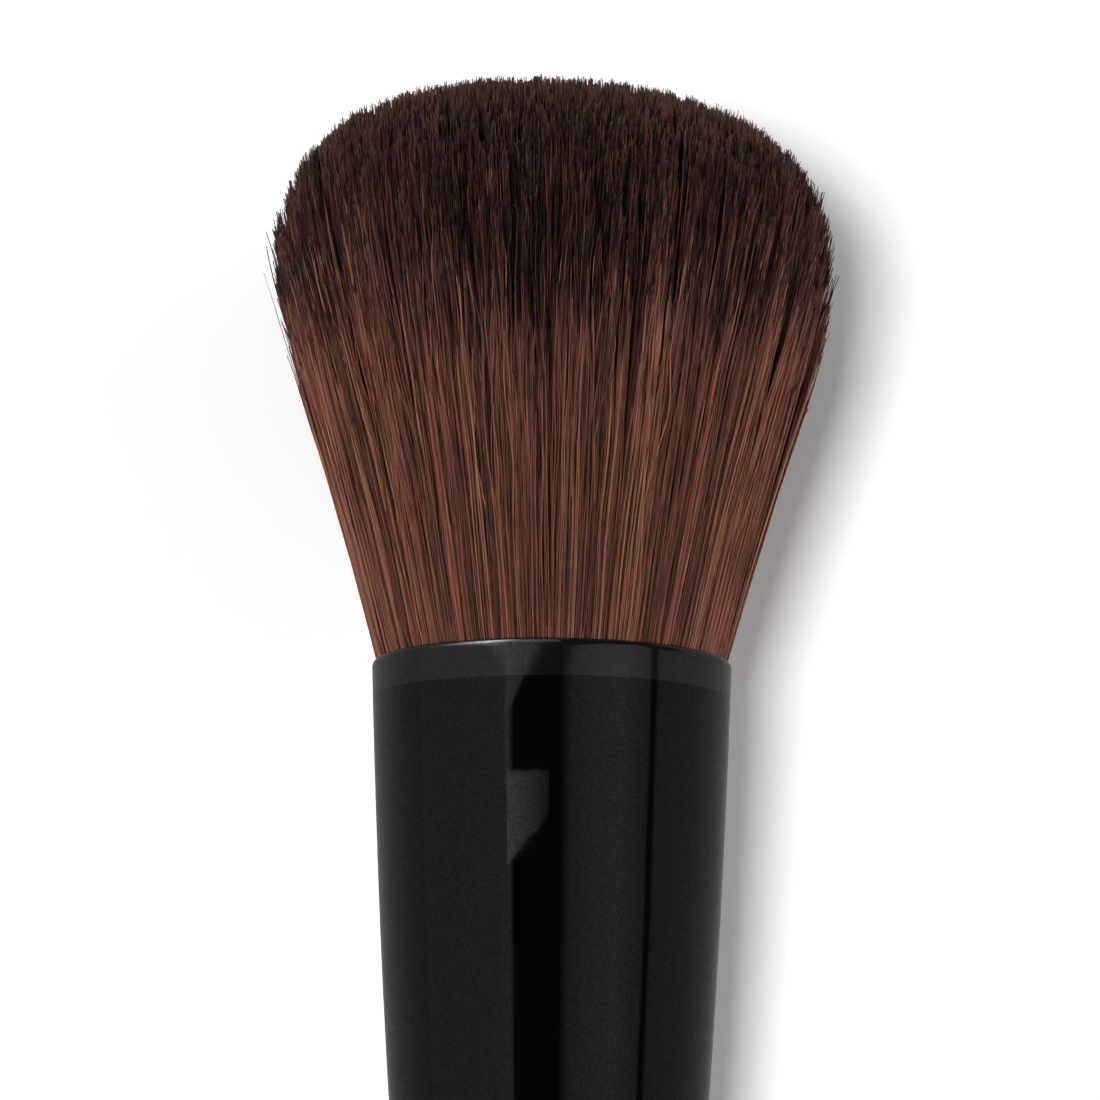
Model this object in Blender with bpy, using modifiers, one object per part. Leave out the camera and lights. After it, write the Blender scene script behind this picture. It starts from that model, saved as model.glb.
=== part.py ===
"""Double-ended makeup brush, lying on a table with its large head towards +Y.

Every piece is modelled along the brush's own axis, local +Z, with station 0 at the
large mouth and the small mouth at -body_length. The empty "brush" then lays it down.
"""

import math
import random
from types import SimpleNamespace

import bmesh
import bpy
import numpy as np
from mathutils import Matrix, Vector
from mathutils.geometry import interpolate_bezier

# Body: the outline that both ferrules and the handle share, measured from the large mouth
large_ferrule_length = 0.0460
handle_show_length = 0.0500
small_ferrule_length = 0.0220
waist_to_small_mouth = 0.0270
waist_radius = 0.0058
mouth_taper = math.radians(1.7)
mouth_curve_share = 0.58
waist_curve_share = 0.29
small_curve_share = 0.40

# Clearances between pieces that touch: hidden seats, visible seams, and glued fits
seat_gap = 0.0003
seam_gap = 0.00006
glue_gap = 0.0001
edge_break = 0.00012

# Large end: ferrule, mouth band and the powder head
large_mouth_radius = 0.0120
large_wall = 0.0007
large_band_height = 0.0025
large_lip_height = 0.0010
large_slice_depth = 0.0012
large_slice_thickness = 0.0020
large_root_land = 0.0012
large_plug_length = 0.0050
large_nose_length = 0.0050
large_nose_step = 0.0012
large_thread_radius = 0.0004
large_thread_turns = 3
large_widest_radius = 0.0192
large_widest_height = 0.0268
large_dome_rise = 0.0125
large_flank_angle = math.radians(17.6)
large_strand_rings = 7
large_strand_spacing = 0.00028
large_tip_length = 0.0030
large_tip_scatter = 0.0006

# Small end: ferrule, mouth band and the blending head
small_mouth_radius = 0.0064
small_wall = 0.0006
small_band_height = 0.0018
small_lip_height = 0.0008
small_slice_depth = 0.0010
small_slice_thickness = 0.0016
small_root_land = 0.0006
small_plug_length = 0.0024
small_nose_length = 0.0024
small_nose_step = 0.0010
small_thread_radius = 0.0003
small_thread_turns = 2
small_widest_radius = 0.0082
small_widest_height = 0.0086
small_dome_rise = 0.0068
small_flank_angle = math.radians(13.5)
small_strand_rings = 4
small_strand_spacing = 0.00022
small_tip_length = 0.0020
small_tip_scatter = 0.0004

# Heads: the curve handles of flank and dome, and a strand's thickness at its two bends
flank_start_share = 0.60
flank_end_share = 0.16
dome_handle_share = 0.64
strand_middle_share = 0.75
middle_thickness_share = 0.97
shoulder_thickness_share = 0.80

# Binding thread round the filament roots
thread_turn_gap = 0.0005
thread_points_per_turn = 18

# Where each head is pressed flat by the table
rest_flat_depth = 0.0005
cutter_overrun = 0.0100
levelling_steps = 4

# Glue grooves round each of the handle's tenons
groove_depth = 0.0005
groove_width = 0.0012
large_tenon_groove_count = 3
small_tenon_groove_count = 2
tenon_chamfer = 0.0006

# Facets of the turned pieces, and the points along their curves
shown_sides = 44
hidden_sides = 24
lip_points = 5
curve_resolution = 40
ferrule_outer_points = 7
ferrule_inner_points = 4
handle_points = 10
weld_distance = 1e-6
sharp_angle = math.radians(35)
random_seed = 7

# Colour, roughness and coat of each kind of surface
black_lacquer = ((0.012, 0.012, 0.013), 0.14, 0.6)
smoky_enamel = ((0.030, 0.025, 0.025), 0.16, 0.5)
red_brown_fibre = ((0.150, 0.058, 0.036), 0.45, 0.0)
waxed_thread = ((0.55, 0.48, 0.36), 0.70, 0.0)
amber_epoxy = ((0.45, 0.30, 0.12), 0.20, 0.0)

ends = {
    "large": SimpleNamespace(
        mouth_radius=large_mouth_radius,
        wall=large_wall,
        ferrule_length=large_ferrule_length,
        band_height=large_band_height,
        lip_height=large_lip_height,
        slice_depth=large_slice_depth,
        slice_thickness=large_slice_thickness,
        root_land=large_root_land,
        plug_length=large_plug_length,
        nose_length=large_nose_length,
        nose_step=large_nose_step,
        thread_radius=large_thread_radius,
        thread_turns=large_thread_turns,
        widest_radius=large_widest_radius,
        widest_height=large_widest_height,
        dome_rise=large_dome_rise,
        flank_angle=large_flank_angle,
        strand_rings=large_strand_rings,
        strand_spacing=large_strand_spacing,
        tip_length=large_tip_length,
        tip_scatter=large_tip_scatter,
        tenon_groove_count=large_tenon_groove_count,
    ),
    "small": SimpleNamespace(
        mouth_radius=small_mouth_radius,
        wall=small_wall,
        ferrule_length=small_ferrule_length,
        band_height=small_band_height,
        lip_height=small_lip_height,
        slice_depth=small_slice_depth,
        slice_thickness=small_slice_thickness,
        root_land=small_root_land,
        plug_length=small_plug_length,
        nose_length=small_nose_length,
        nose_step=small_nose_step,
        thread_radius=small_thread_radius,
        thread_turns=small_thread_turns,
        widest_radius=small_widest_radius,
        widest_height=small_widest_height,
        dome_rise=small_dome_rise,
        flank_angle=small_flank_angle,
        strand_rings=small_strand_rings,
        strand_spacing=small_strand_spacing,
        tip_length=small_tip_length,
        tip_scatter=small_tip_scatter,
        tenon_groove_count=small_tenon_groove_count,
    ),
}
body_length = large_ferrule_length + handle_show_length + small_ferrule_length


def curve_between(start, start_handle, end_handle, end):
    """Points of a Bezier curve, as two arrays: how far along, and how far out."""
    corners = [Vector((*p, 0)) for p in (start, start_handle, end_handle, end)]
    points = interpolate_bezier(*corners, curve_resolution)
    return np.array([p.x for p in points]), np.array([p.y for p in points])


def body_curve():
    """The outline from the large mouth in to the waist and out again to the small mouth."""
    waist_station = body_length - waist_to_small_mouth
    reach = mouth_curve_share * waist_station
    down = curve_between(
        (0, large_mouth_radius),
        (reach, large_mouth_radius - math.tan(mouth_taper) * reach),
        (waist_station - waist_curve_share * waist_station, waist_radius),
        (waist_station, waist_radius),
    )
    flare = small_curve_share * waist_to_small_mouth
    up = curve_between(
        (waist_station, waist_radius),
        (waist_station + flare, waist_radius),
        (body_length - flare, small_mouth_radius),
        (body_length, small_mouth_radius),
    )
    return np.append(down[0], up[0][1:]), np.append(down[1], up[1][1:])


body_stations, body_radii = body_curve()


def body_radius(end, depth):
    """Outer radius at a depth behind this end's mouth."""
    station = depth if end is ends["large"] else body_length - depth
    return float(np.interp(station, body_stations, body_radii))


def bore_radius(end, depth):
    return body_radius(end, depth) - end.wall


def flank_radius(end, height):
    """Radius of the head's outside at a height above the mouth."""
    start = end.mouth_radius - end.wall / 2
    reach = flank_start_share * end.widest_height
    heights, radii = curve_between(
        (0, start),
        (reach, start + math.tan(end.flank_angle) * reach),
        (end.widest_height - flank_end_share * end.widest_height, end.widest_radius),
        (end.widest_height, end.widest_radius),
    )
    return float(np.interp(height, heights, radii))


def dome_rise(end, radius_share):
    """Height of the dome over its widest circle, at a share of its radius."""
    shares, rises = curve_between((0, 1), (dome_handle_share, 1), (1, dome_handle_share), (1, 0))
    return end.dome_rise * float(np.interp(radius_share, shares, rises))


def thread_span(end):
    """How far the thread's turns climb, from one end of its centre line to the other."""
    return end.thread_turns * (2 * end.thread_radius + thread_turn_gap)


def root_waist(end):
    """The drawn-in length and depth of the root bundle that make room for the thread."""
    length = thread_span(end) + 2 * end.thread_radius + 2 * seat_gap
    return length, 2 * end.thread_radius + seat_gap


def stack_depths(end):
    """Depths of the faces inside the ferrule, from the root bundle down to the tenon."""
    length, depth = root_waist(end)
    root_top = end.slice_depth + end.slice_thickness + seat_gap
    root_bottom = root_top + length + 2 * (depth + end.root_land)
    plug_top = root_bottom + seat_gap
    plug_bottom = plug_top + end.plug_length
    return SimpleNamespace(
        root_top=root_top,
        root_bottom=root_bottom,
        plug_top=plug_top,
        plug_bottom=plug_bottom,
        tenon_end=plug_bottom + seat_gap,
    )


def place(obj, parent, look):
    """Files the object under its collection and its parent, with a material of its own."""
    colour, roughness, coat = look
    surface = bpy.data.materials.new(obj.name)
    surface.use_nodes = True
    shader = surface.node_tree.nodes["Principled BSDF"]
    shader.inputs["Base Color"].default_value = (*colour, 1)
    shader.inputs["Roughness"].default_value = roughness
    shader.inputs["Metallic"].default_value = 0
    shader.inputs["Coat Weight"].default_value = coat
    surface.diffuse_color = (*colour, 1)
    obj.data.materials.append(surface)
    collection.objects.link(obj)
    obj.parent = parent
    return obj


def turned(name, outline, look, parent, sides, closed=False):
    """A turned piece: the outline of (radius, z) points runs down its outer side.

    A closed outline makes a ring, and an open one starts and ends on the axis.
    """
    profile = bpy.data.meshes.new(name)
    count = len(outline)
    edges = [(i, (i + 1) % count) for i in range(count if closed else count - 1)]
    profile.from_pydata([(radius, 0, z) for radius, z in outline], edges, [])
    obj = place(bpy.data.objects.new(name, profile), parent, look)
    screw = obj.modifiers.new("turn", "SCREW")
    screw.axis = "Z"
    screw.angle = math.tau
    screw.steps = screw.render_steps = sides
    screw.use_merge_vertices = True
    screw.merge_threshold = weld_distance
    graph = bpy.context.evaluated_depsgraph_get()
    mesh = bpy.data.meshes.new_from_object(obj.evaluated_get(graph))
    obj.modifiers.clear()
    obj.data = mesh
    mesh.shade_smooth()
    mesh.set_sharp_from_angle(angle=sharp_angle)
    return obj


def make_ferrule(end, name, parent):
    """A drawn tube: its mouth is turned down to a neck that carries the mouth band."""
    neck_radius = end.mouth_radius - end.wall / 2
    neck_top = end.lip_height + seam_gap
    shoulder = end.band_height + seam_gap
    length = end.ferrule_length - seam_gap / 2
    outline = [(neck_radius, -neck_top), (neck_radius, -shoulder)]
    for depth in np.linspace(shoulder, length - edge_break, ferrule_outer_points):
        outline.append((body_radius(end, depth), -depth))
    outline.append((body_radius(end, length) - edge_break, -length))
    for depth in np.linspace(length, neck_top, ferrule_inner_points):
        outline.append((bore_radius(end, depth), -depth))
    return turned(name, outline, black_lacquer, parent, shown_sides, closed=True)


def make_band(end, name, parent):
    """The mouth band: a rounded lip, and a sleeve that slips over the ferrule's neck."""
    lip = end.wall / 2
    crest = end.mouth_radius - lip
    angles = np.linspace(math.pi, 0, lip_points + 1)
    outline = [(crest + lip * math.cos(a), lip * math.sin(a) - lip) for a in angles]
    sleeve_radius = crest + seam_gap
    outline.append((body_radius(end, end.band_height), -end.band_height))
    outline.append((sleeve_radius, -end.band_height))
    outline.append((sleeve_radius, -end.lip_height))
    outline.append((end.mouth_radius - end.wall, -end.lip_height))
    return turned(name, outline, smoky_enamel, parent, shown_sides, closed=True)


def root_radius(end):
    return bore_radius(end, stack_depths(end).root_bottom) - seat_gap


def make_root_bundle(end, name, parent):
    """The bound filament roots under the slice, drawn in where the thread is wound."""
    stack = stack_depths(end)
    length, depth = root_waist(end)
    radius = root_radius(end)
    waist_top = stack.root_top + end.root_land + depth
    waist_bottom = waist_top + length
    outline = [
        (0, -stack.root_top),
        (radius, -stack.root_top),
        (radius, -(waist_top - depth)),
        (radius - depth, -waist_top),
        (radius - depth, -waist_bottom),
        (radius, -(waist_bottom + depth)),
        (radius, -stack.root_bottom),
        (0, -stack.root_bottom),
    ]
    return turned(name, outline, red_brown_fibre, parent, hidden_sides)


def make_thread(end, name, parent):
    """One unbroken helix of waxed thread, wound in the root bundle's waist."""
    stack = stack_depths(end)
    radius = root_radius(end) - end.thread_radius
    top = (stack.root_top + stack.root_bottom - thread_span(end)) / 2
    steps = end.thread_turns * thread_points_per_turn
    points = []
    for i in range(steps + 1):
        angle = math.tau * i / thread_points_per_turn
        depth = top + thread_span(end) * i / steps
        points.append((radius * math.cos(angle), radius * math.sin(angle), -depth))
    helix = np.array(points)
    next_turn = helix[thread_points_per_turn // 2 :]
    gap = min(
        np.linalg.norm(next_turn[i:] - helix[i], axis=1).min() for i in range(len(next_turn))
    )
    print(f"{name}: least gap to itself {1000 * (gap - 2 * end.thread_radius):.2f} mm")
    curve = bpy.data.curves.new(name, "CURVE")
    curve.dimensions = "3D"
    curve.bevel_depth = end.thread_radius
    curve.bevel_resolution = 1
    curve.use_fill_caps = True
    spline = curve.splines.new("POLY")
    spline.points.add(steps)
    for spline_point, point in zip(spline.points, points):
        spline_point.co = (*point, 1)
    return place(bpy.data.objects.new(name, curve), parent, waxed_thread)


def tenon_radius(end):
    """The tenon is straight, and as wide as the ferrule's narrow back end lets in."""
    return bore_radius(end, end.ferrule_length) - glue_gap


def make_plug(end, name, parent):
    """The cast epoxy behind the roots: a disc with a cup that the tenon's nose dips into."""
    stack = stack_depths(end)
    rim = stack.plug_bottom + end.nose_length - seat_gap
    cup_radius = tenon_radius(end) - end.nose_step + seat_gap
    outline = [(0, -stack.plug_top)]
    outline.append((bore_radius(end, stack.plug_top) - glue_gap - edge_break, -stack.plug_top))
    for depth in (stack.plug_top + edge_break, stack.plug_bottom, rim):
        outline.append((bore_radius(end, depth) - glue_gap, -depth))
    outline.append((cup_radius, -rim))
    outline.append((cup_radius, -stack.plug_bottom))
    outline.append((0, -stack.plug_bottom))
    return turned(name, outline, amber_epoxy, parent, hidden_sides)


def root_spread(end):
    """Radius of the strands' field on the slice, so that straight strands clear the lip."""
    middle = strand_middle_share * end.widest_height
    lip = end.wall / 2
    share = (end.slice_depth - lip) / (middle + end.slice_depth)
    at_lip = end.mouth_radius - end.wall - glue_gap
    return (at_lip - share * flank_radius(end, middle)) / (1 - share)


def lattice_disc(shell, radius, rings):
    """A disc of near-equal triangles: a subdivided hexagon pushed out to a circle."""
    bmesh.ops.create_circle(
        shell, cap_ends=True, cap_tris=True, segments=6, radius=radius
    )
    bmesh.ops.subdivide_edges(
        shell, edges=shell.edges[:], cuts=rings - 1, use_grid_fill=True
    )
    sector = math.pi / 3
    step = sector / rings
    turn = (math.pi / 2 - step / 2) % step
    for vert in shell.verts:
        angle = math.atan2(-vert.co.x, vert.co.y)
        from_middle = angle % sector - sector / 2
        hexagon = math.cos(sector / 2) / math.cos(from_middle)
        reach = vert.co.to_2d().length / hexagon
        along_side = math.tan(from_middle) / math.tan(sector / 2)
        around = angle - from_middle + along_side * sector / 2 + turn
        vert.co = (reach * math.cos(around), reach * math.sin(around), 0)


def grow_strand(shell, cell, levels, top):
    """Extrudes one cell of the slice through its levels, and pokes it out to a point.

    A level is a height, how far the strands have spread there, and a share of thickness.
    """
    centre = cell.calc_center_median().to_2d()
    corners = [vert.co.to_2d() - centre for vert in cell.verts]
    end_face = cell
    for height, spread, thickness_share in levels:
        end_face = bmesh.ops.extrude_discrete_faces(shell, faces=[end_face])["faces"][0]
        for vert, corner in zip(end_face.verts, corners):
            vert.co = (*(spread * (centre + thickness_share * corner)), height)
    tip = bmesh.ops.poke(shell, faces=[end_face])["verts"][0]
    tip.co = (*(spread * centre), top)


def make_tuft(end, name, parent):
    """The head: three-sided tapered strands that fan out of one slice of bound filament.

    All strands spread by one rule from their places on the slice, so none crosses another.
    """
    scatter = random.Random(f"{random_seed} {name}")
    field = root_spread(end)
    slice_radius = field + end.strand_spacing / 2
    middle = strand_middle_share * end.widest_height
    shell = bmesh.new()
    lattice_disc(shell, slice_radius, end.strand_rings)
    bmesh.ops.translate(shell, verts=shell.verts, vec=(0, 0, -end.slice_depth))
    cells = shell.faces[:]
    bmesh.ops.inset_individual(shell, faces=cells, thickness=end.strand_spacing / 2)
    for cell in cells:
        from_axis_share = cell.calc_center_median().to_2d().length / slice_radius
        top = end.widest_height + dome_rise(end, from_axis_share)
        top -= scatter.random() * end.tip_scatter
        shoulder = top - end.tip_length
        levels = [
            (middle, flank_radius(end, middle) / field, middle_thickness_share),
            (shoulder, flank_radius(end, shoulder) / field, shoulder_thickness_share),
        ]
        grow_strand(shell, cell, levels, top)
    rim = [edge for edge in shell.edges if edge.is_boundary]
    side = bmesh.ops.extrude_edge_only(shell, edges=rim)["geom"]
    lower = [part for part in side if isinstance(part, bmesh.types.BMVert)]
    bmesh.ops.translate(shell, verts=lower, vec=(0, 0, -end.slice_thickness))
    bmesh.ops.contextual_create(shell, geom=[edge for edge in shell.edges if edge.is_boundary])
    bmesh.ops.recalc_face_normals(shell, faces=shell.faces)
    mesh = bpy.data.meshes.new(name)
    shell.to_mesh(mesh)
    shell.free()
    return place(bpy.data.objects.new(name, mesh), parent, red_brown_fibre)


def tenon_outline(end):
    """Outline of one tenon as (radius, depth), from its nose back to the handle's shoulder."""
    start = stack_depths(end).tenon_end
    nose_end = start + end.nose_length
    seam = end.ferrule_length + seam_gap / 2
    radius = tenon_radius(end)
    nose_radius = radius - end.nose_step
    outline = [
        (0, start),
        (nose_radius - tenon_chamfer, start),
        (nose_radius, start + tenon_chamfer),
        (nose_radius, nose_end),
        (radius - tenon_chamfer, nose_end),
        (radius, nose_end + tenon_chamfer),
    ]
    pitch = (seam - nose_end - tenon_chamfer) / (end.tenon_groove_count + 1)
    for i in range(end.tenon_groove_count):
        middle = nose_end + tenon_chamfer + (i + 1) * pitch
        outline.append((radius, middle - groove_width / 2))
        outline.append((radius - groove_depth, middle))
        outline.append((radius, middle + groove_width / 2))
    outline.append((radius, seam))
    outline.append((body_radius(end, seam) - edge_break, seam))
    outline.append((body_radius(end, seam + edge_break), seam + edge_break))
    return outline


def make_handle(name, parent):
    """The turned handle, with a grooved tenon at each end for the ferrules."""
    large, small = ends["large"], ends["small"]
    outline = [(radius, -depth) for radius, depth in tenon_outline(large)]
    first = large.ferrule_length
    last = body_length - small.ferrule_length
    for station in np.linspace(first, last, handle_points + 2)[1:-1]:
        outline.append((body_radius(large, station), -station))
    small_tenon = [(radius, depth - body_length) for radius, depth in tenon_outline(small)]
    outline += reversed(small_tenon)
    return turned(name, outline, black_lacquer, parent, shown_sides)


def make_end(name, parent):
    """Makes every piece of one end, from the bristles inwards, and returns its tuft."""
    end = ends[name]
    tuft = make_tuft(end, f"{name}_bristle_tuft", parent)
    make_root_bundle(end, f"{name}_root_bundle", parent)
    make_thread(end, f"{name}_binding_thread", parent)
    make_plug(end, f"{name}_epoxy_plug", parent)
    make_ferrule(end, f"{name}_ferrule", parent)
    make_band(end, f"{name}_mouth_band", parent)
    return tuft


def empty(name, parent=None, location=(0, 0, 0), turn=0.0):
    made = bpy.data.objects.new(name, None)
    collection.objects.link(made)
    made.parent = parent
    made.location = location
    made.rotation_euler.x = turn
    return made


def lowest_point(obj):
    return min((obj.matrix_world @ vert.co for vert in obj.data.vertices), key=lambda p: p.z)


def lay_on_table(root, large_tuft, small_tuft):
    """Tips the brush until both heads reach equally low, and centres it over the origin.

    Both heads then dip below z = 0 by the depth of the flats that the table presses.
    """
    for _ in range(levelling_steps):
        bpy.context.view_layer.update()
        slope = lowest_point(large_tuft) - lowest_point(small_tuft)
        root.rotation_euler.x -= math.atan2(slope.z, slope.y)
    bpy.context.view_layer.update()
    along = [
        (tuft.matrix_world @ vert.co).y
        for tuft in (large_tuft, small_tuft)
        for vert in tuft.data.vertices
    ]
    height = -lowest_point(large_tuft).z - rest_flat_depth
    root.location = (0, -(min(along) + max(along)) / 2, height)


def press_flat(tufts):
    """Cuts the strands that rest on the table flat at z = 0."""
    width = 2 * (large_widest_radius + cutter_overrun)
    length = body_length + 2 * (large_widest_height + large_dome_rise + cutter_overrun)
    size = Matrix.Diagonal((width, length, cutter_overrun, 1))
    shell = bmesh.new()
    bmesh.ops.create_cube(
        shell, size=1, matrix=Matrix.Translation((0, 0, -cutter_overrun / 2)) @ size
    )
    mesh = bpy.data.meshes.new("below_table")
    shell.to_mesh(mesh)
    shell.free()
    cutter = bpy.data.objects.new("below_table", mesh)
    cutter.hide_render = True
    cutter.display_type = "WIRE"
    cutters.objects.link(cutter)
    for tuft in tufts:
        flat = tuft.modifiers.new("rest_flat", "BOOLEAN")
        flat.operation = "DIFFERENCE"
        flat.object = cutter


for old in list(bpy.data.objects):
    bpy.data.objects.remove(old)

collection = bpy.data.collections.new("double_ended_makeup_brush")
cutters = bpy.data.collections.new("cutters")
bpy.context.scene.collection.children.link(collection)
bpy.context.scene.collection.children.link(cutters)

brush = empty("brush", turn=-math.pi / 2)
large_mouth = empty("large_mouth", brush)
small_mouth = empty("small_mouth", brush, (0, 0, -body_length), math.pi)
tufts = [make_end("large", large_mouth), make_end("small", small_mouth)]
make_handle("handle", brush)
lay_on_table(brush, *tufts)
press_flat(tufts)
bpy.context.view_layer.update()
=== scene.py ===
import math

import bmesh
import bpy
from mathutils import Matrix, Quaternion, Vector
from mathutils.geometry import interpolate_bezier


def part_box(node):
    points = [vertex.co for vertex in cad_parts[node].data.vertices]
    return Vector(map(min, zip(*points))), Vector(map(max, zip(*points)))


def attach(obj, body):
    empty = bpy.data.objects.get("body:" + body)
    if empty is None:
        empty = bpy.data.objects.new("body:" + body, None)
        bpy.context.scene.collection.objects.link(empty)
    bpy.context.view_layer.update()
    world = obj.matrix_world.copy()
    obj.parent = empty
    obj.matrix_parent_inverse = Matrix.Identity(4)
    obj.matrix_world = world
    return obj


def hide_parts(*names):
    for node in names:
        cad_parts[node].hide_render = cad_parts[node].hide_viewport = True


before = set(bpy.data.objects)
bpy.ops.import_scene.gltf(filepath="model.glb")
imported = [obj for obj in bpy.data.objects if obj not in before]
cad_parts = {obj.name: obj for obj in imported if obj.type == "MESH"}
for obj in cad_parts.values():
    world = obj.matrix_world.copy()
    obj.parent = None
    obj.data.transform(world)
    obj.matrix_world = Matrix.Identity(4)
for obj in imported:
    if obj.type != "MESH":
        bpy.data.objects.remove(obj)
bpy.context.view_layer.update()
mm = 0.001

# The body's outline, measured from the large mouth back to the small one
brushBody = {
    "length": 118 * mm,
    "largeFerruleLength": 46 * mm,
    "smallFerruleLength": 22 * mm,
    "largeMouthRadius": 12 * mm,
    "smallMouthRadius": 6.4 * mm,
    "waistRadius": 5.8 * mm,
    "waistToSmallMouth": 27 * mm,
    "mouthTaper": math.radians(1.7),
    "mouthCurve": 0.58,  # shares of each stretch that the curve's handles take
    "waistCurve": 0.29,
    "smallCurve": 0.40,
    "seam": 0.06 * mm,
    "bandSeam": 0.005 * mm,  # drawn narrower than it is made, since the photograph shows no gap
    "sides": 176,
    "sharpAngle": math.radians(40),
}

# The camera hangs over the brush, a little towards its small end
shot = {
    "target": (-0.00018, 0.05463, 0.0166),
    "elevation": math.radians(77.25),
    "roll": math.radians(0.4),
    "distance": 0.70,
    "imageWidth": 73.55 * mm,  # what the picture spans at the large mouth's depth
    "sensorWidth": 36.0,
    "clip": (0.01, 20.0),
}


def axisPlace():
    # The axis runs through the middles of the two mouth bands
    large = sum(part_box("large_mouth_band"), Vector()) / 2
    small = sum(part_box("small_mouth_band"), Vector()) / 2
    along = (large - small).normalized()
    mouth = large + along * largeBand["height"] / 2
    side = Vector((1, 0, 0))
    turn = Matrix((side, along.cross(side), along)).transposed()
    return Matrix.Translation(mouth) @ turn.to_4x4()


def bezierPoints(start, startHandle, endHandle, end, count=48):
    corners = [Vector((*point, 0)) for point in (start, startHandle, endHandle, end)]
    return [(point.x, point.y) for point in interpolate_bezier(*corners, count)]


def readLine(points, x):
    # How high a line through points is at x; past its last point it stays level
    for (xa, ya), (xb, yb) in zip(points, points[1:]):
        if x <= xb:
            share = (x - xa) / (xb - xa)
            return ya + (yb - ya) * share
    return points[-1][1]


def evenSteps(first, last, count):
    return [first + (last - first) * i / count for i in range(count + 1)]


def bodyOutline():
    body = brushBody
    waist = body["length"] - body["waistToSmallMouth"]
    reach = body["mouthCurve"] * waist
    down = bezierPoints(
        (0, body["largeMouthRadius"]),
        (reach, body["largeMouthRadius"] - math.tan(body["mouthTaper"]) * reach),
        (waist - body["waistCurve"] * waist, body["waistRadius"]),
        (waist, body["waistRadius"]),
    )
    flare = body["smallCurve"] * body["waistToSmallMouth"]
    up = bezierPoints(
        (waist, body["waistRadius"]),
        (waist + flare, body["waistRadius"]),
        (body["length"] - flare, body["smallMouthRadius"]),
        (body["length"], body["smallMouthRadius"]),
    )
    return down + up[1:]


outline = bodyOutline()


def bodyRadius(station):
    return readLine(outline, station)


def depthRadius(end, depth):
    return bodyRadius(depth if end == "large" else brushBody["length"] - depth)


def arc(centre, radius, fromAngle, toAngle, count=6):
    # Points of (radius, station) round a corner; angle 0 points outwards, 90 towards the mouth
    steps = [math.radians(angle) for angle in evenSteps(fromAngle, toAngle, count)]
    return [(centre[0] + radius * math.cos(a), centre[1] - radius * math.sin(a)) for a in steps]


def addObject(name, data):
    obj = bpy.data.objects.new(name, data)
    bpy.context.scene.collection.objects.link(obj)
    return obj


def meshFrom(shell, name, material):
    mesh = bpy.data.meshes.new(name)
    shell.to_mesh(mesh)
    shell.free()
    mesh.materials.append(material)
    return mesh


def turnedPiece(name, points, material, sides=None, closed=True):
    # Turns an outline of (radius, station) about the axis; stations run back from the large mouth
    shell = bmesh.new()
    verts = [shell.verts.new((radius, 0, -station)) for radius, station in points]
    edges = [shell.edges.new(pair) for pair in zip(verts, verts[1:])]
    if closed:
        edges.append(shell.edges.new((verts[-1], verts[0])))
    bmesh.ops.spin(
        shell, geom=verts + edges, cent=(0, 0, 0), axis=(0, 0, 1),
        angle=math.tau, steps=sides or brushBody["sides"], use_merge=True,
    )
    bmesh.ops.remove_doubles(shell, verts=shell.verts, dist=0.001 * mm)
    bmesh.ops.recalc_face_normals(shell, faces=shell.faces)
    mesh = meshFrom(shell, name, material)
    mesh.shade_smooth()
    mesh.set_sharp_from_angle(angle=brushBody["sharpAngle"])
    mesh.transform(brushPlace)
    return addObject(name, mesh)


def finishPiece(piece, slot, *nodes):
    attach(piece, "root")
    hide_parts(*nodes)


# Node helpers, for materials and Geometry Nodes alike

def addNode(tree, kind, **settings):
    node = tree.nodes.new(kind)
    for name, value in settings.items():
        setattr(node, name, value)
    return node


def feed(socket, value):
    if isinstance(value, bpy.types.NodeSocket):
        socket.id_data.links.new(value, socket)
    else:
        socket.default_value = value


def feedAll(node, **values):
    for name, value in values.items():
        feed(node.inputs[name], value)
    return node


def fedNode(kind, values, **settings):
    # A node in the tree of those of its values that are sockets
    tree = next(value.id_data for value in values if isinstance(value, bpy.types.NodeSocket))
    return addNode(tree, kind, **settings)


def maths(operation, *values):
    node = fedNode("ShaderNodeMath", values, operation=operation)
    for socket, value in zip(node.inputs, values):
        feed(socket, value)
    return node.outputs[0]


def vectors(operation, first, second=None, scale=None):
    node = fedNode("ShaderNodeVectorMath", (first, second, scale), operation=operation)
    feed(node.inputs[0], first)
    if second is not None:
        feed(node.inputs[1], second)
    if scale is not None:
        feed(node.inputs["Scale"], scale)
    return node.outputs["Value" if operation in ("LENGTH", "DOT_PRODUCT") else "Vector"]


def combine(x=0.0, y=0.0, z=0.0):
    return feedAll(fedNode("ShaderNodeCombineXYZ", (x, y, z)), X=x, Y=y, Z=z).outputs[0]


def separate(vector):
    return feedAll(fedNode("ShaderNodeSeparateXYZ", [vector]), Vector=vector).outputs


def mapped(value, fromMin, fromMax, toMin=0.0, toMax=1.0, interpolation="LINEAR"):
    node = fedNode("ShaderNodeMapRange", [value], interpolation_type=interpolation)
    for socket, given in zip(node.inputs, (value, fromMin, fromMax, toMin, toMax)):
        feed(socket, given)
    return node.outputs[0]


def mixed(factor, first, second):
    # A colour between two, each given by three numbers or by a socket
    node = fedNode("ShaderNodeMix", [factor], data_type="RGBA")
    for index, value in ((0, factor), (6, first), (7, second)):
        feed(node.inputs[index], (*value, 1) if isinstance(value, tuple) else value)
    return node.outputs[2]


def noise(vector, scale=1.0, detail=2.0, roughness=0.5, dimensions="3D"):
    node = fedNode("ShaderNodeTexNoise", [vector], noise_dimensions=dimensions)
    return feedAll(node, Vector=vector, Scale=scale, Detail=detail, Roughness=roughness).outputs


def objectPlace(tree):
    return addNode(tree, "ShaderNodeTexCoord").outputs["Object"]


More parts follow.
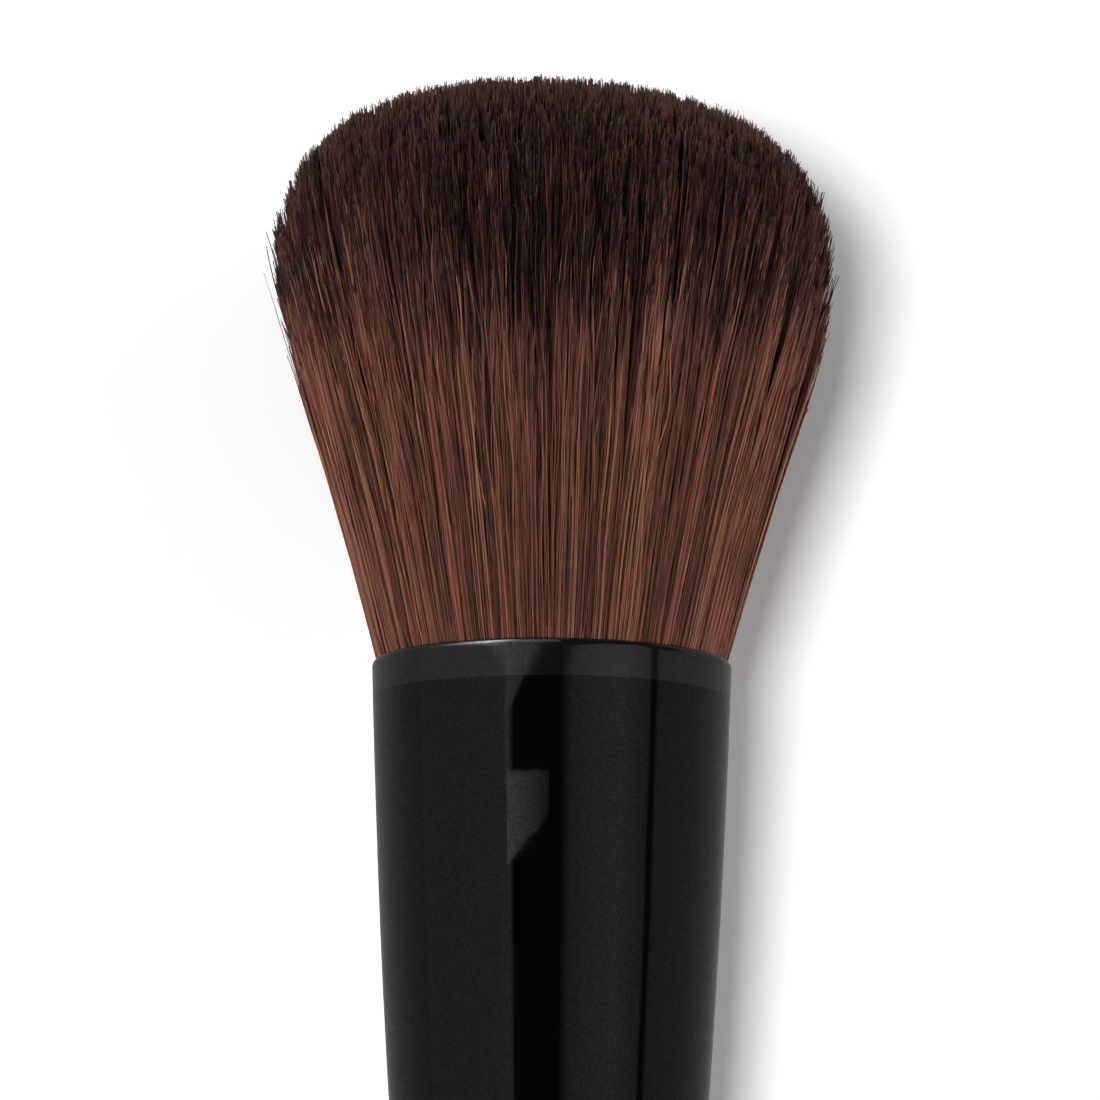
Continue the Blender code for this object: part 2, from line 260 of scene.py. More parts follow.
def addBump(shader, height, strength, distance):
    bump = fedNode("ShaderNodeBump", [height])
    feedAll(bump, Height=height, Strength=strength, Distance=distance)
    feed(shader.inputs["Normal"], bump.outputs["Normal"])


def newMaterial(name, look):
    # A finish from its dictionary; what that leaves out takes a plain value
    material = bpy.data.materials.new(name)
    material.use_nodes = True
    shader = material.node_tree.nodes["Principled BSDF"]
    feedAll(shader, **{
        "Base Color": (*look["colour"], 1), "Roughness": look["roughness"], "IOR": look.get("ior", 1.5),
        "Coat Weight": look.get("coat", 0.0), "Coat Roughness": look.get("coatRoughness", 0.03),
    })
    material.diffuse_color = (*look["colour"], 1)
    return material, material.node_tree, shader


# Finishes

blackLacquer = {
    "colour": (0.0009, 0.0009, 0.0010),
    "gloss": (1.0, 1.0, 1.0),
    "roughness": 0.016,
    "smudge": 0.05,  # how much smudges dull the gloss
    "smudgeScale": 70.0,
    "ripple": 0.05,
    "rippleScale": 260.0,
    "rippleDepth": 0.02 * mm,
    "scratch": 0.10,
    "dust": (0.03, 0.03, 0.03),
    "coat": 0.20,
    "coatRoughness": 0.016,
    "specular": 0.403,  # below the plain 0.5 by what the coat adds
    "grain": 0.32,  # how much fine specks change the coat
}
smokyEnamel = dict(
    blackLacquer, colour=(0.0050, 0.0042, 0.0043), roughness=0.026, coat=0.25, coatRoughness=0.03,
    ior=1.62, specular=0.5, grain=0.40, gloss=(1.0, 0.95, 0.95),
)
wearPattern = {
    "smudgeBand": (0.50, 0.74),  # the stretch of the noise over which a smudge sets in
    "scratchBand": (0.70, 0.74),
    "scratchStretch": (900.0, 60.0, 900.0),
    "scratchDent": -0.2,
    "grainScale": 5500.0,
    "grainBand": (0.25, 0.75),
}
wearInputs = ("roughness", "smudge", "smudgeScale", "rippleScale", "scratch", "coat", "grain")
wearOutputs = ("roughness", "height", "dust", "coat")


def buildSurfaceWear(tree):
    # Fine handling wear: smudges that dull the gloss, hairline scratches and a faint ripple
    for way, names in (("INPUT", wearInputs), ("OUTPUT", wearOutputs)):
        for name in names:
            tree.interface.new_socket(name, in_out=way, socket_type="NodeSocketFloat")
    given = addNode(tree, "NodeGroupInput").outputs
    place = objectPlace(tree)
    smudges = noise(place, given["smudgeScale"], 5.0, 0.6)["Fac"]
    smudges = mapped(smudges, *wearPattern["smudgeBand"], interpolation="SMOOTHSTEP")
    scratches = noise(vectors("MULTIPLY", place, wearPattern["scratchStretch"]))["Fac"]
    scratches = mapped(scratches, *wearPattern["scratchBand"])
    ripple = noise(place, given["rippleScale"], 1.0)["Fac"]
    scratched = maths("MULTIPLY", scratches, given["scratch"])
    grain = noise(place, wearPattern["grainScale"], 1.0)["Fac"]
    grain = mapped(grain, *wearPattern["grainBand"], -1.0, 1.0)
    dulled = maths("MULTIPLY_ADD", smudges, given["smudge"], given["roughness"])
    feedAll(
        addNode(tree, "NodeGroupOutput"),
        coat=maths("MAXIMUM", maths("MULTIPLY_ADD", grain, given["grain"], given["coat"]), 0.0),
        roughness=maths("ADD", dulled, scratched),
        height=maths("ADD", ripple, maths("MULTIPLY", scratches, wearPattern["scratchDent"])),
        dust=maths("MULTIPLY", smudges, scratched),
    )


surfaceWear = bpy.data.node_groups.new("surfaceWear", "ShaderNodeTree")
buildSurfaceWear(surfaceWear)


def glossFinish(name, look):
    material, tree, shader = newMaterial(name, look)
    wear = addNode(tree, "ShaderNodeGroup", node_tree=surfaceWear)
    worn = feedAll(wear, **{key: look[key] for key in wearInputs}).outputs
    feedAll(shader, **{
        "Specular Tint": (*look["gloss"], 1), "Specular IOR Level": look["specular"],
        "Roughness": worn["roughness"], "Coat Weight": worn["coat"],
        "Base Color": mixed(worn["dust"], look["colour"], look["dust"]),
    })
    addBump(shader, worn["height"], look["ripple"], look["rippleDepth"])
    return material


bristleFibre = {
    "colour": (0.219, 0.0785, 0.0494),
    "dyedDark": (0.0090, 0.0045, 0.0051),
    "dyedLight": (0.122, 0.0425, 0.0365),
    "shaftDark": (0.058, 0.0225, 0.0180),
    "shaftTan": (0.362, 0.159, 0.100),
    "shaftRose": (0.420, 0.131, 0.108),
    # The paler tip is painted light, as if the hairs' ends were lit through
    "tip": (0.100, 0.052, 0.043),
    "brownChance": (0.25, 0.55),  # a hair's chance at which each colour sets in, and is full
    "tanChance": (0.76, 0.90),
    "roseChance": (0.86, 0.96),
    "lateChance": (0.78, 1.0),
    "dyedPower": 3.0,  # how few of the dyed hairs are light
    "clumpDark": 0.35,
    "dyeLeast": 0.41,  # where the dye starts, in shares of the head's height above the mouth
    "dyeMost": 0.72,
    "dyeByClump": 1.5,  # how much of that is a clump's, against a hair's own 1
    "dyeLate": 0.42,  # how much higher the shaft's colour reaches on some hairs
    "dyeBlend": 0.055,
    # Painted glints: highlights painted into the colour, lighter and darker by stretches along each hair
    "paintedGlintBand": (0.32, 0.68),  # light and dark stretches along each hair
    "paintedGlint": (0.74, 1.28),
    "paintedGlintsInHeight": 10.0,
    "roughness": 0.34,
    "specular": 0.50,
    "glow": 0.35,  # light that passes through a hair
    "glowDepth": 0.10 * mm,
    "glowColour": (1.0, 0.55, 0.40),
    "shades": 128,
    "shadesPerClump": 16,
    "markSpan": 0.90,  # the mark runs to this over the head's height, and on to the tip's mark
    "tipMark": 0.97,
}


def bristleMaterial():
    # Reads two values of a hair alone: its mark, which gives the height, and its shade
    look = bristleFibre
    material, tree, shader = newMaterial("bristleFibre", look)
    feedAll(shader, **{
        "Specular IOR Level": look["specular"], "Subsurface Weight": look["glow"],
        "Subsurface Scale": look["glowDepth"], "Subsurface Radius": look["glowColour"],
    })
    attributes = [addNode(tree, "ShaderNodeAttribute", attribute_name=name) for name in ("mark", "shade")]
    mark, shade = (node.outputs["Fac"] for node in attributes)
    shade = maths("FLOOR", maths("ADD", shade, 0.5))
    clump = maths("FLOOR", maths("DIVIDE", shade, float(look["shadesPerClump"])))
    height = maths("DIVIDE", mark, look["markSpan"])

    def chances(value, offset):
        node = fedNode("ShaderNodeTexWhiteNoise", [value], noise_dimensions="1D")
        feed(node.inputs["W"], maths("ADD", value, offset))
        return separate(node.outputs["Color"])

    ofClump, ofHair, alsoOfHair = chances(clump, 0.37), chances(shade, 200.61), chances(shade, 611.23)
    shaft = mixed(mapped(ofHair["X"], *look["brownChance"]), look["shaftDark"], look["colour"])
    shaft = mixed(mapped(ofHair["Y"], *look["tanChance"]), shaft, look["shaftTan"])
    shaft = mixed(mapped(alsoOfHair["Z"], *look["roseChance"]), shaft, look["shaftRose"])
    dark = mapped(ofClump["Y"], 0.0, 1.0, 0.0, look["clumpDark"])
    shaft = mixed(dark, shaft, look["shaftDark"])
    dyed = maths("POWER", ofHair["Z"], look["dyedPower"])
    dyed = mixed(dyed, look["dyedDark"], look["dyedLight"])

    zones = look["shades"] / look["shadesPerClump"] - 1
    border = maths("MULTIPLY_ADD", clump, look["dyeByClump"] / zones, alsoOfHair["X"])
    border = mapped(border, 0.0, look["dyeByClump"] + 1, look["dyeLeast"], look["dyeMost"])
    late = mapped(alsoOfHair["Y"], *look["lateChance"], 0.0, look["dyeLate"])
    past = maths("SUBTRACT", height, maths("ADD", border, late))
    tinted = mapped(past, -look["dyeBlend"], look["dyeBlend"], interpolation="SMOOTHSTEP")
    colour = mixed(tinted, shaft, dyed)

    # Painted glints: highlights painted as light and dark stretches along each hair; and a paler tip,
    # painted light
    stretch = maths("MULTIPLY", height, look["paintedGlintsInHeight"])
    stretch = combine(stretch, maths("MULTIPLY", shade, 5.3))
    stretch = noise(stretch, dimensions="2D")["Fac"]
    colour = vectors("SCALE", colour, scale=mapped(stretch, *look["paintedGlintBand"], *look["paintedGlint"]))
    # Painted light: the last of each hair turns paler, as if lit through
    paintedTipLight = mapped(mark, look["markSpan"] + 0.01, look["tipMark"] - 0.01)
    paintedTipLight = maths("MULTIPLY", paintedTipLight, mapped(alsoOfHair["X"], 0.0, 1.0, 0.15, 1.0))
    feed(shader.inputs["Base Color"], mixed(paintedTipLight, colour, look["tip"]))
    return material


boundRoots = {
    "colour": (0.15, 0.058, 0.036),
    "dark": (0.05, 0.018, 0.012),
    "light": (0.26, 0.11, 0.07),
    "roughness": 0.5,
    "grain": (9000.0, 300.0, 9000.0),  # spots in a metre, across the brush and along it
    "bump": 0.5,
    "depth": 0.05 * mm,
}
# Near-black, darker than any hair's shaft: painted shade, as packed hairs look deep in the head
shadedPackedHair = {
    "colour": (0.02, 0.008, 0.007),
    "dark": (0.010, 0.004, 0.0035),
    "light": (0.045, 0.018, 0.013),
    "roughness": 0.7,
    "grain": (4000.0, 200.0, 4000.0),
}
waxedThread = {
    "colour": (0.55, 0.48, 0.36),
    "dark": (0.40, 0.33, 0.23),
    "light": (0.62, 0.55, 0.42),
    "roughness": 0.6,
    "coat": 0.2,
    "coatRoughness": 0.4,
    "twist": 900.0,
    "bump": 0.6,
    "depth": 0.05 * mm,
}
castEpoxy = {
    "colour": (0.45, 0.30, 0.12),
    "dark": (0.42, 0.27, 0.10),
    "light": (0.62, 0.48, 0.26),
    "roughness": 0.2,
    "bubbles": 1400.0,
    "bubbleBand": (0.1, 0.35),
    "bubbleRoughness": (0.16, 0.4),
}


def toneAndBump(shader, pattern, look):
    # Dark and light by a pattern, and raised by it where the finish has a bump
    feed(shader.inputs["Base Color"], mixed(pattern, look["dark"], look["light"]))
    if "bump" in look:
        addBump(shader, pattern, look["bump"], look["depth"])


def hairBundleMaterial(name, look):
    # Hairs side by side, too many to be made one by one
    material, tree, shader = newMaterial(name, look)
    toneAndBump(shader, noise(vectors("MULTIPLY", objectPlace(tree), look["grain"]))["Fac"], look)
    return material


def threadMaterial(name, look):
    # Waxed thread with its twist
    material, tree, shader = newMaterial(name, look)
    wave = addNode(tree, "ShaderNodeTexWave", wave_type="BANDS", bands_direction="DIAGONAL")
    feedAll(wave, Vector=objectPlace(tree), Scale=look["twist"], Distortion=1.5, Detail=2.0)
    toneAndBump(shader, wave.outputs["Fac"], look)
    return material


def epoxyMaterial(name, look):
    # Cast epoxy, clouded by fine bubbles
    material, tree, shader = newMaterial(name, look)
    cells = addNode(tree, "ShaderNodeTexVoronoi", feature="F1")
    feedAll(cells, Vector=objectPlace(tree), Scale=look["bubbles"])
    spots = mapped(cells.outputs["Distance"], *look["bubbleBand"], 1.0, 0.0, "SMOOTHSTEP")
    toneAndBump(shader, spots, look)
    feed(shader.inputs["Roughness"], mapped(spots, 0.0, 1.0, *look["bubbleRoughness"]))
    return material


lacquer = glossFinish("blackLacquer", blackLacquer)
enamel = glossFinish("smokyEnamel", smokyEnamel)
fibre = bristleMaterial()
shadedPacked = hairBundleMaterial("shadedPackedHair", shadedPackedHair)
print("finishes made")

# The body: ferrules, mouth bands and handle

largeBand = {
    "height": 2.5 * mm,
    "lip": 1.0 * mm,  # how far the band reaches into the mouth
    "round": 0.48 * mm,
    "wall": 0.7 * mm,
    "edge": 0.004 * mm,
    "firstStep": 0.04 * mm,
}
smallBand = dict(largeBand, height=1.8 * mm, lip=0.8 * mm, round=0.40 * mm, wall=0.6 * mm)
ferruleEdge = {"large": 0.14 * mm, "small": 0.12 * mm}
handleEdge = {"large": 0.16 * mm, "small": 0.14 * mm}
tenon = {"length": 6 * mm, "chamfer": 0.6 * mm, "gap": 0.1 * mm}
handleInset = 0.6 * mm  # where the handle's even steps start, past each shoulder

brushPlace = axisPlace()


def fromSmallEnd(points):
    # An outline given by depth behind the small mouth, turned to stations from the large one
    return [(radius, brushBody["length"] - depth) for radius, depth in points]


def flank(end, depths, inset=0.0):
    return [(depthRadius(end, depth) - inset, depth) for depth in depths]


def roundEdge(end, depth, edge, fromAngle, toAngle, count):
    return arc((depthRadius(end, depth) - edge, depth), edge, fromAngle, toAngle, count)


def bandOutline(end, band):
    half = band["wall"] / 2
    mouthRadius = brushBody[end + "MouthRadius"]
    crest = mouthRadius - half
    lip = arc((depthRadius(end, band["round"]) - half, half), half, 180, 0, 36)
    points = [(radius, depth * band["round"] / half) for radius, depth in lip]
    last = band["height"] - band["edge"]
    points += flank(end, evenSteps(band["round"] + band["firstStep"], last - 1.5 * band["edge"], 7))
    points += roundEdge(end, last, band["edge"], 0, -90, 4)
    inner = crest + brushBody["seam"]
    points += [(inner, band["height"]), (inner, band["lip"])]
    return points + [(mouthRadius - band["wall"], band["lip"])]


def ferruleOutline(end, band):
    neck = brushBody[end + "MouthRadius"] - band["wall"] / 2
    top = band["height"] + brushBody["bandSeam"]
    length = brushBody[end + "FerruleLength"] - brushBody["seam"] / 2
    edge = ferruleEdge[end]
    points = [(neck, band["lip"] + brushBody["seam"]), (neck, top)]
    first = top + 2.5 * band["edge"]
    points += roundEdge(end, top + band["edge"], band["edge"], 90, 0, 4)
    points += flank(end, [first + (length - top - 2 * edge) * i / 40 for i in range(40)])
    points += roundEdge(end, length - edge, edge, 0, -90, 5)
    return points + flank(end, evenSteps(length, band["lip"] + brushBody["seam"], 5), band["wall"])


def handleShoulder(end):
    # The shoulder that meets a ferrule, down to the tenon inside it
    seam = brushBody[end + "FerruleLength"] + brushBody["seam"] / 2
    edge = handleEdge[end]
    wall = (largeBand if end == "large" else smallBand)["wall"]
    inside = depthRadius(end, seam) - wall - tenon["gap"]
    nose = seam - tenon["length"]
    points = [(0, nose), (inside - tenon["chamfer"], nose)]
    points += [(inside, nose + tenon["chamfer"]), (inside, seam)]
    return points + arc((depthRadius(end, seam) - edge, seam + edge), edge, 90, 0, 5)


def makeBody():
    for end, band in (("large", largeBand), ("small", smallBand)):
        bandPoints, ferrulePoints = bandOutline(end, band), ferruleOutline(end, band)
        if end == "small":
            bandPoints, ferrulePoints = fromSmallEnd(bandPoints), fromSmallEnd(ferrulePoints)
        ring = turnedPiece(end + "MouthBand", bandPoints, enamel)
        finishPiece(ring, "mouth_band", end + "_mouth_band")
        tube = turnedPiece(end + "Ferrule", ferrulePoints, lacquer)
        finishPiece(tube, "ferrule_lacquer", end + "_ferrule")
    points = handleShoulder("large")
    first = brushBody["largeFerruleLength"]
    last = brushBody["length"] - brushBody["smallFerruleLength"]
    points += flank("large", evenSteps(first + handleInset, last - handleInset, 69))
    points += reversed(fromSmallEnd(handleShoulder("small")))
    handle = turnedPiece("handle_body", points, lacquer, closed=False)
    finishPiece(handle, "handle_lacquer", "handle")


makeBody()
print("body turned")

# Hidden pieces keep their solids and get their own finish
hiddenFinishes = {
    "root_bundle": hairBundleMaterial("boundRoots", boundRoots),
    "binding_thread": threadMaterial("waxedThread", waxedThread),
    "epoxy_plug": epoxyMaterial("castEpoxy", castEpoxy),
}
for end in ("large", "small"):
    for node, material in hiddenFinishes.items():
        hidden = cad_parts[end + "_" + node]
        hidden.data.materials.clear()
        hidden.data.materials.append(material)

# The bristle heads

largeHead = {
    "count": 32000,
    "seed": 11,
    "rootJitter": 1.3,
    "mouthRadius": 11.65 * mm,
    "spreadRadius": 21.65 * mm,  # how far the outermost hairs would reach at the top
    "edgeHeight": 23.0 * mm,  # where the outermost hairs end
    "topHeight": 39.2 * mm,
    "domePower": 2.47,
    "domeMiddle": (-0.058, 0.0, 0.0),  # the dome's top lies a little to one side
    "boreShare": 0.962,  # the hairs are squeezed by this inside the lip
    "lipRise": 0.45 * mm,
    "lipDrop": -0.8,  # where the squeeze is full, in rises of the lip
    "sliceDepth": 1.2 * mm,
    "filamentRadius": 0.058 * mm,
    "thinnest": 0.65,  # in filament radii, and how much thicker others are
    "thickScatter": 0.7,
    "taperFrom": 0.80,
    "tipWidth": 0.50,
    "clumpSize": 0.40 * mm,
    "clumpPull": 0.38,
    "clumpUneven": 0.9,
    "lockSize": 1.7 * mm,  # loose groups of clumps
    "lockPull": 0.10,
    "rimGather": 0.22,  # how much more the locks draw together at the head's rim
    "rimPower": 11.0,  # how closely that keeps to the rim
    "leanHeight": 0.8,  # where hairs have leaned fully, in shares of the head's height
    "waveSize": 0.42 * mm,
    "waveLength": 13.0 * mm,
    "waveFlatness": 0.85,  # the waves run sideways, so that a hair keeps its depth
    "waveHeight": 0.4,  # where waves are full, and their share at the mouth
    "waveAtMouth": 0.25,
    "frizz": 0.38 * mm,  # each hair's own waviness
    "frizzLength": 9.0 * mm,
    "looseShare": 0.07,  # hairs that wander across their neighbours
    "looseFrizz": 2.2,
    "hook": 0.19 * mm,  # how far a tip bends aside
    "hookPower": 24.0,
    "lengthScatter": 0.62 * mm,  # of a clump, and a hair's own share of it
    "hairScatter": 0.9,
    "rimScatter": 5.4 * mm,  # how much shorter some clumps are at the head's rim
    "raggedClump": 0.8,  # what a clump, a lock and a hair each add to that
    "raggedLock": 0.4,
    "raggedHair": 0.2,
    "lockPoint": 3.6 * mm,  # how much lower a lock's outer hairs end there
    "clumpPoint": 0.40 * mm,  # how much lower a clump's outer hairs end than its middle
    "straySize": 0.72 * mm,
    "strayShare": 0.026,
    "strayRim": 0.9,  # stray hairs are rooted outside this share of the mouth
    "strayPower": 1.2,
    "strayScatter": 1.6,
    "tableRest": 1.1,  # how high a pressed hair lies, in its radii, and how many more
    "tablePile": 6.0,
    "zoneLeast": 0.09,  # how early the dye starts: for all, by lock and towards the sides
    "zoneByLock": 0.28,
    "zoneToSide": 0.34,
    "layers": (
        {
            "layer": "Outer", "parts": 4, "innerShare": 0.88, "outerShare": 1.0,
            "segments": 16, "strandLength": 60 * mm, "tipCloseness": 1.25,
        },
        {
            "layer": "Middle", "parts": 2, "innerShare": 0.80, "outerShare": 0.88,
            "segments": 8, "strandLength": 26 * mm, "tipCloseness": 1.5,
        },
        {
            "layer": "Inner", "parts": 3, "innerShare": 0.0, "outerShare": 0.80,
            "segments": 3, "strandLength": 12 * mm, "tipCloseness": 1.7,
        },
    ),
}
smallHead = dict(
    largeHead,
    count=8600,
    seed=23,
    mouthRadius=6.1 * mm,
    spreadRadius=8.9 * mm,
    edgeHeight=7.6 * mm,
    topHeight=15.4 * mm,
    domePower=2.4,
    domeMiddle=(0.03, 0.0, 0.0),
    lipRise=0.35 * mm,
    sliceDepth=1.0 * mm,
    waveSize=0.20 * mm,
    waveLength=6.0 * mm,
    frizz=0.26 * mm,
    frizzLength=3.5 * mm,
    hook=0.20 * mm,
    lengthScatter=0.35 * mm,
    rimScatter=1.6 * mm,
    lockPoint=2.0 * mm,
    clumpPoint=0.5 * mm,
    straySize=0.4 * mm,
    layers=(
        {
            "layer": "Outer", "parts": 2, "innerShare": 0.72, "outerShare": 1.0,
            "segments": 10, "strandLength": 60 * mm, "tipCloseness": 1.3,
        },
        {
            "layer": "Inner", "parts": 1, "innerShare": 0.0, "outerShare": 0.72,
            "segments": 3, "strandLength": 7 * mm, "tipCloseness": 1.7,
        },
    ),
)

# How the hairs fan out: corners of a Bezier curve in shares of height and of spread
fanCurve = ((0.0, 0.0), (0.40, 0.42), (0.66, 0.84), (1.0, 1.0))

seedSpacing = 37.0  # so far apart in the noise, no two seeds share a wave
noiseSwing = 2.6  # a noise keeps near its middle, so its swing is widened
sideDyePower = 1.5


def whiteNoise(index, seed, offset):
    # Three random numbers for each hair, as one vector
    key = combine(index, maths("ADD", seed, offset))
    node = fedNode("ShaderNodeTexWhiteNoise", [key], noise_dimensions="2D")
    return feedAll(node, Vector=key).outputs["Color"]


def centred(chance, swing):
    # Random numbers from 0 to 1 as a shift either way along X and Y, with Z left at 0
    shift = vectors("SUBTRACT", chance, (0.5, 0.5, 0.5))
    return vectors("MULTIPLY", shift, (swing, swing, 0.0))


def passOn(kind, geometry, **values):
    # One step of the geometry through a node, whose first sockets carry it
    node = fedNode("GeometryNode" + kind, [geometry])
    feed(node.inputs[0], geometry)
    return feedAll(node, **values).outputs[0]


def captured(geometry, **values):
    node = fedNode("GeometryNodeCaptureAttribute", [geometry], domain="POINT")
    kinds = {"NodeSocketVector": "VECTOR", "NodeSocketColor": "VECTOR"}
    for name, value in values.items():
        node.capture_items.new(kinds.get(value.bl_idname, "FLOAT"), name)
    return feedAll(node, Geometry=geometry, **values).outputs


def storeNamed(geometry, name, kind, domain, value):
    node = fedNode("GeometryNodeStoreNamedAttribute", [geometry], data_type=kind, domain=domain)
    feedAll(node, Geometry=geometry, Name=name)
    socket = next(s for s in node.inputs if s.name == "Value" and s.enabled)
    feed(socket, value)
    return node.outputs["Geometry"]


def splineShare(tree):
    return addNode(tree, "GeometryNodeSplineParameter").outputs["Factor"]


def rootPoints(tree, given):
    # Roots on the mouth's disc, in shares of its radius: an even spiral, a little jittered
    index = addNode(tree, "GeometryNodeInputIndex").outputs[0]
    share = maths("SQRT", maths("DIVIDE", maths("ADD", index, 0.5), given["count"]))
    golden = math.pi * (3 - math.sqrt(5))
    angle = maths("MULTIPLY", index, golden)
    across, along = maths("COSINE", angle), maths("SINE", angle)
    spot = combine(maths("MULTIPLY", share, across), maths("MULTIPLY", share, along))
    chance = whiteNoise(index, given["seed"], 0.5)
    pitch = maths("DIVIDE", given["rootJitter"], maths("SQRT", given["count"]))
    jitter = vectors("SCALE", centred(chance, 1.0), scale=pitch)
    points = addNode(tree, "GeometryNodePoints")
    feedAll(points, Count=given["count"], Position=vectors("ADD", spot, jitter))
    return points.outputs[0], index, share, angle


def outsidePiece(given, share, angle):
    # True for roots outside this piece's ring and sector
    turn = maths("FRACT", maths("DIVIDE", angle, math.tau))
    start = maths("SUBTRACT", turn, given["sectorStart"])
    before = maths("LESS_THAN", start, 0.0)
    after = maths("LESS_THAN", given["sectorSize"], start)
    inner = maths("LESS_THAN", share, given["innerShare"])
    outer = maths("LESS_THAN", given["outerShare"], share)
    return maths("ADD", maths("ADD", before, after), maths("ADD", inner, outer))


def clumpOf(spot, size, given):
    # The clump that a root belongs to: its middle, how far off the root is, and a random colour
    node = fedNode("ShaderNodeTexVoronoi", [spot], voronoi_dimensions="2D", feature="F1")
    scale = maths("DIVIDE", given["mouthRadius"], size)
    feedAll(node, Vector=spot, Scale=scale, Randomness=given["clumpUneven"])
    return node.outputs["Position"], node.outputs["Distance"], node.outputs["Color"]


def plantStrands(tree, given):
    # A straight strand on each root of this piece, with what is known at its root
    points, index, share, angle = rootPoints(tree, given)
    spot = addNode(tree, "GeometryNodeInputPosition").outputs[0]
    clumpMiddle, clumpOff, clumpChance = clumpOf(spot, given["clumpSize"], given)
    lockMiddle, lockOff, lockChance = clumpOf(spot, given["lockSize"], given)
    held = captured(
        points, root=spot, clump=clumpMiddle, clumpOff=clumpOff, clumpChance=clumpChance,
        lock=lockMiddle, lockOff=lockOff, lockChance=lockChance,
        chanceA=whiteNoise(index, given["seed"], 7.5),
        chanceB=whiteNoise(index, given["seed"], 13.5),
        outside=outsidePiece(given, share, angle),
    )
    kept = passOn("DeleteGeometry", held["Geometry"], Selection=held["outside"])
    line = addNode(tree, "GeometryNodeCurvePrimitiveLine")
    strand = feedAll(line, End=(0.0, 0.0, 1.0)).outputs[0]
    strand = passOn("ResampleCurve", strand, Count=maths("ADD", given["segments"], 1.0))
    planted = passOn("InstanceOnPoints", kept, Instance=strand)
    along = captured(passOn("RealizeInstances", planted), along=splineShare(tree))
    return along["Geometry"], along["along"], held


def tipHeight(given, held, rootShare, rim):
    # How high each hair ends: on the dome, with its clump coming to a point
    chance = separate(held["chanceA"])
    ofClump, ofLock = separate(held["clumpChance"]), separate(held["lockChance"])
    inside = maths("SUBTRACT", 1.0, maths("POWER", rootShare, 2.0))
    middle = vectors("SCALE", given["domeMiddle"], scale=inside)
    fromTop = maths("MINIMUM", vectors("LENGTH", vectors("SUBTRACT", held["root"], middle)), 1.0)
    flat = maths("SUBTRACT", 1.0, maths("POWER", fromTop, given["domePower"]))
    flat = maths("POWER", flat, maths("DIVIDE", 1.0, given["domePower"]))
    rise = maths("SUBTRACT", given["topHeight"], given["edgeHeight"])
    tip = maths("MULTIPLY_ADD", flat, rise, given["edgeHeight"])
    tip = maths("SUBTRACT", tip, maths("MULTIPLY", held["clumpOff"], given["clumpPoint"]))
    uneven = maths("MULTIPLY_ADD", chance["X"], given["hairScatter"], ofClump["Z"])
    tip = maths("SUBTRACT", tip, maths("MULTIPLY", uneven, given["lengthScatter"]))
    ragged = maths("MULTIPLY", ofLock["Y"], given["raggedLock"])
    ragged = maths("MULTIPLY_ADD", ofClump["Y"], given["raggedClump"], ragged)
    ragged = maths("POWER", maths("MULTIPLY_ADD", chance["Z"], given["raggedHair"], ragged), 2.0)
    ragged = maths("MULTIPLY", ragged, given["rimScatter"])
    ragged = maths("MULTIPLY_ADD", held["lockOff"], given["lockPoint"], ragged)
    return maths("SUBTRACT", tip, maths("MULTIPLY", ragged, rim))


def hairRadius(given, height, heightShare):
    # How far out a hair is at a height: the fan's curve, squeezed where the lip holds it
    fan = fedNode("ShaderNodeFloatCurve", [heightShare])
    for x, y in bezierPoints(*fanCurve, count=9)[1:-1]:
        fan.mapping.curves[0].points.new(x, y)
    fan.mapping.update()
    feed(fan.inputs["Value"], heightShare)
    spread = maths("SUBTRACT", given["spreadRadius"], given["mouthRadius"])
    radius = maths("MULTIPLY_ADD", fan.outputs[0], spread, given["mouthRadius"])
    belowLip = maths("MULTIPLY", given["lipRise"], given["lipDrop"])
    squeeze = mapped(height, belowLip, given["lipRise"], given["boreShare"], 1.0, "SMOOTHSTEP")
    return maths("MULTIPLY", radius, squeeze)


def hairWave(given, held, key, height, length, size):
    # A slow swing along the hair, most of it sideways; hairs of one key swing together
    seedling = vectors("SCALE", key, scale=seedSpacing)
    phase = combine(0.0, 0.0, maths("DIVIDE", height, length))
    swing = centred(noise(vectors("ADD", seedling, phase), detail=1.0)["Color"], noiseSwing)
    outwards = vectors("NORMALIZE", held["root"])
    deep = maths("MULTIPLY", vectors("DOT_PRODUCT", swing, outwards), given["waveFlatness"])
    swing = vectors("SUBTRACT", swing, vectors("SCALE", outwards, scale=deep))
    return vectors("SCALE", swing, scale=size)


